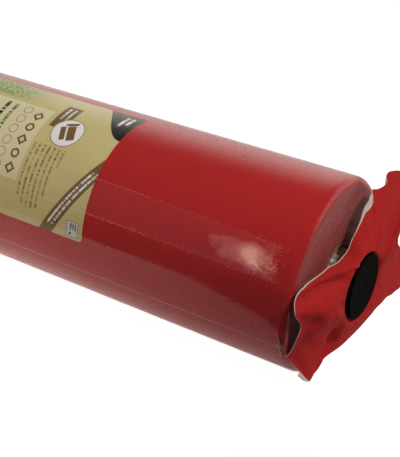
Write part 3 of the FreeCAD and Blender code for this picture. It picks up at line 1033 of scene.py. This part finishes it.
def ply_step(surface, path):
    """The way out of the face at each point, a mm long, which the plies are stepped back along.

    Just past the lip it turns to +X, and near the lip it is shorter, so that no ply crosses in front
    of another at the sharp bend.
    """
    face_way = -normals(surface)
    face_way[0] = (1, 0, 0)
    by_lip = np.exp(-(((path - path[LIP_ROW]) / (3 * MM)) ** 2))[..., None]
    turned_back = by_lip * (np.arange(len(surface)) >= LIP_ROW)[:, None, None]
    straight = face_way * (1 - turned_back) + np.array((1.0, 0.0, 0.0)) * turned_back
    return straight * (1 - 0.6 * by_lip) * MM


def cloth_sample(red, white):
    """The gathered sample: a red ply, the plies between and an off-white back, one behind another."""
    border, neck_angle, white_shows = sample_border(480)
    surface = sample_middle(border, neck_angle)
    nearest = end_clearance(np.hypot(surface[..., 1], surface[..., 2])) + 0.7 * MM
    skirt = np.arange(len(surface))[:, None] > LIP_ROW + 1
    surface[..., 0] = np.where(skirt, np.maximum(surface[..., 0], nearest), surface[..., 0])
    path = distances(surface)
    forward = ply_step(surface, path)
    angle = np.arctan2(surface[..., 2], surface[..., 1])
    spread = NECK_RADIUS + np.abs(path - path[NECK_ROW])
    places = pairs(spread * np.cos(angle), spread * np.sin(angle))
    for name, node, near, far, share, material, slot in (
        ("sample_face", "sample_face_ply", 0.0, 0.2, 0.0, red, "red_tissue"),
        ("sample_lining", "sample_inner_plies", 0.22, 0.42, 0.7, white, "white_tissue"),
        ("sample_back", "sample_back_ply", 0.44, 0.62, 1.0, white, "white_tissue"),
    ):
        grown = surface.copy()
        grown[-1] += white_shows * share
        front, back = grown - forward * near, grown - forward * far
        piece = slab(name, front, back, places, material, wrapped=True, centred=True)
        # The lengths along this surface give about 158 x 132 mm. The modelled gathers are too shallow
        # to meet the sheet rule at that size.
        settle(piece, slot, "sample", node)


# ---------------- the studio


CAMERA_PLACE = (0.78628, -0.45983, 0.34774)
CAMERA_AZIMUTH, CAMERA_ELEVATION = math.radians(32.66), math.radians(32.37)
CAMERA_LENS = 77.7

# The softbox's corners, and its bright spot's centre, the sine and cosine of its slant, and its half
# length and half width. Then how brightly the softbox, its rim and its spot glow, and the studio and the
# sweep in it.
SOFTBOX_CORNERS = ((-0.50, -0.60, 0.18), (0.36, -0.60, 0.12), (0.235, -0.60, 0.70), (-0.50, -0.60, 1.00))
SPOT_X, SPOT_Z = 0.277, 0.36
SPOT_SINE, SPOT_COSINE = 0.24, 0.97
SPOT_HALF_LENGTH, SPOT_HALF_WIDTH = 0.24, 0.012
SOFTBOX_GLOW, RIM_GLOW, SPOT_GLOW = 0.28, 2.4, 24.0
STUDIO_GLOW, SWEEP_GLOW = 0.05, 1.7

# Each lamp's name, its place, the point that it faces, its width and height, and its power in watts.
LAMPS = (
    ("key", (1.36, 0.12, 1.00), (ROLL_END, 0.0, 0.0), 0.3, 0.3, 10.8),
    ("top", (0.15, -0.50, 1.12), (0.42, 0.0, 0.0), 0.3, 0.3, 3.5),
    ("far", (-0.57, -0.50, 1.00), (0.40, 0.0, 0.0), 0.8, 0.4, 3.5),
)


def card(name, corners, material, seen_by_camera=False):
    """A flat card or floor with a material, as part of the studio."""
    mesh = bpy.data.meshes.new(name)
    mesh.from_pydata(corners, [], [range(len(corners))])
    layer = mesh.uv_layers.new(name="place")
    for corner, place in zip(layer.data, ((0, 0), (1, 0), (1, 1), (0, 1))):
        corner.uv = place
    mesh.materials.append(material)
    piece = placed(name, mesh)
    piece.visible_camera = seen_by_camera


def floor():
    """A floor that the camera sees as near white, and that lights the roll less towards its near end.

    It is cut away on the -Y side of the near end, where the film would mirror it.
    """
    surface = Surface("studio_floor")
    x, y, _ = surface.parts(surface.point())
    seen, seen_glow = surface.ray("Camera"), 0.97
    glow = (1 - x.step(0.2, 0.6)) * 0.56 + y.step(0.0, 0.5) * 0.1 + 0.36
    shader = surface.shader(
        Base_Color=(0.3, 0.3, 0.3),
        Roughness=0.9,
        Emission_Color=surface.mix(seen, (1.0, 0.93, 0.85), (1.0, 1.0, 1.0)),
        Emission_Strength=seen * (seen_glow - glow) + glow,
    )
    near, cut, wide = -0.30, -0.08, 3.0
    outline = (
        (-wide, near), (ROLL_END - 0.21, near), (ROLL_END + 0.02, cut),
        (wide, cut), (wide, wide), (-wide, wide),
    )
    corners = [(*corner, FLOOR_LEVEL) for corner in outline]
    card("floor", corners, surface.finish(shader), seen_by_camera=True)


def softbox():
    """A dim softbox on the label's side, with a brighter frame and one bright slanting spot."""
    surface = Surface("softbox_glow")
    u, v = surface.place()
    x, _, z = surface.parts(surface.point())
    inside = (0.5 - abs(u - 0.5)).smaller((0.5 - abs(v - 0.5)) * 0.75)
    rim = 1 - inside.step(0.010, 0.022)
    x, z = x - SPOT_X, z - SPOT_Z
    along, across = z * SPOT_COSINE - x * SPOT_SINE, x * SPOT_COSINE + z * SPOT_SINE
    along, across = along * (1 / SPOT_HALF_LENGTH), across * (1 / SPOT_HALF_WIDTH)
    spot = 1 - (along * along + across * across).power(0.5).step(0.5, 1.0)
    colour = surface.mix(rim.larger(spot), (0.92, 0.80, 1.0), (1.0, 0.66, 0.48))
    strength = rim * RIM_GLOW + spot * SPOT_GLOW + SOFTBOX_GLOW
    glow = surface.shader("Emission", Color=colour, Strength=strength)
    card("softbox", SOFTBOX_CORNERS, surface.finish(glow))


def lamp(name, place, target, width, height, power):
    """A white rectangular light that faces a target. It isn't mirrored: only the cards and backdrop are."""
    data = bpy.data.lights.new(name, "AREA")
    data.shape = "RECTANGLE"
    data.size, data.size_y = width, height
    data.energy = power
    light = placed(name, data)
    light.location = place
    light.visible_glossy = False
    light.rotation_euler = (Vector(target) - Vector(place)).to_track_quat("-Z", "Y").to_euler()


def backdrop():
    """The studio round the object: white to the camera, dim all round, and a bright sweep behind the roll.

    Only mirrored rays see the sweep, as the lamps do the lighting.
    """
    sky = Surface("studio", bpy.data.worlds)
    _, y, z = sky.parts(sky.node("TexCoord").outputs["Generated"])
    sweep = y.step(-0.05, 0.45) * z.step(0.80, 0.42) * z.step(-0.60, 0.30)
    glow = sweep * sky.ray("Glossy") * SWEEP_GLOW + STUDIO_GLOW
    dim = sky.shader("Background", Color=(1.0, 0.94, 0.88), Strength=glow)
    white = sky.shader("Background", Color=(1.0, 1.0, 1.0), Strength=1.0)
    bpy.context.scene.world = sky.finish(sky.blend(sky.ray("Camera"), dim, white), "OutputWorld")


def camera():
    """The camera, above the label's side and past the sample's end, looking back along the roll."""
    level = math.cos(CAMERA_ELEVATION)
    x, y = math.sin(CAMERA_AZIMUTH) * level, -math.cos(CAMERA_AZIMUTH) * level
    back = Vector((x, y, math.sin(CAMERA_ELEVATION)))
    data = bpy.data.cameras.new("camera")
    data.lens = CAMERA_LENS
    data.sensor_width = 36.0
    data.clip_start = 0.01
    viewer = placed("camera", data)
    viewer.location = CAMERA_PLACE
    viewer.rotation_euler = back.to_track_quat("Z", "Y").to_euler()
    bpy.context.scene.camera = viewer


def studio():
    """The camera, floor, softbox, backdrop and lamps."""
    camera()
    floor()
    softbox()
    backdrop()
    for row in LAMPS:
        lamp(*row)
    bpy.context.scene.view_settings.view_transform = "Standard"


# ---------------- everything together


def roll():
    """The web, its core and all that is wrapped round it."""
    wound_web(rolled_tissue())
    film_sleeve(clear_film("shrink_film", haze_at_ends=0.22))
    paper_label(printed_paper())
    film_seam(clear_film("sealed_film", haze=0.10))
    glue_bead(amber_glue())
    liner = CORE_BORE + 0.8 * MM
    middle = liner + 1.7 * MM
    core_ply("core_inner_ply", CORE_BORE, liner, kraft_board("core_liner", 78 * MM), mouth=0.4 * MM)
    core_ply("core_body_ply", liner + 0.01 * MM, middle, kraft_board("core_middle", 84 * MM))
    core_ply("core_outer_ply", middle + 0.01 * MM, CORE_RADIUS, kraft_board("core_cover", 90 * MM))
    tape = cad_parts["start_tape"]
    tape.data.materials.clear()
    tape.data.materials.append(clear_tape())


studio()
roll()
core_plug(black_plastic())
cloth_sample(red_tissue(), white_tissue())
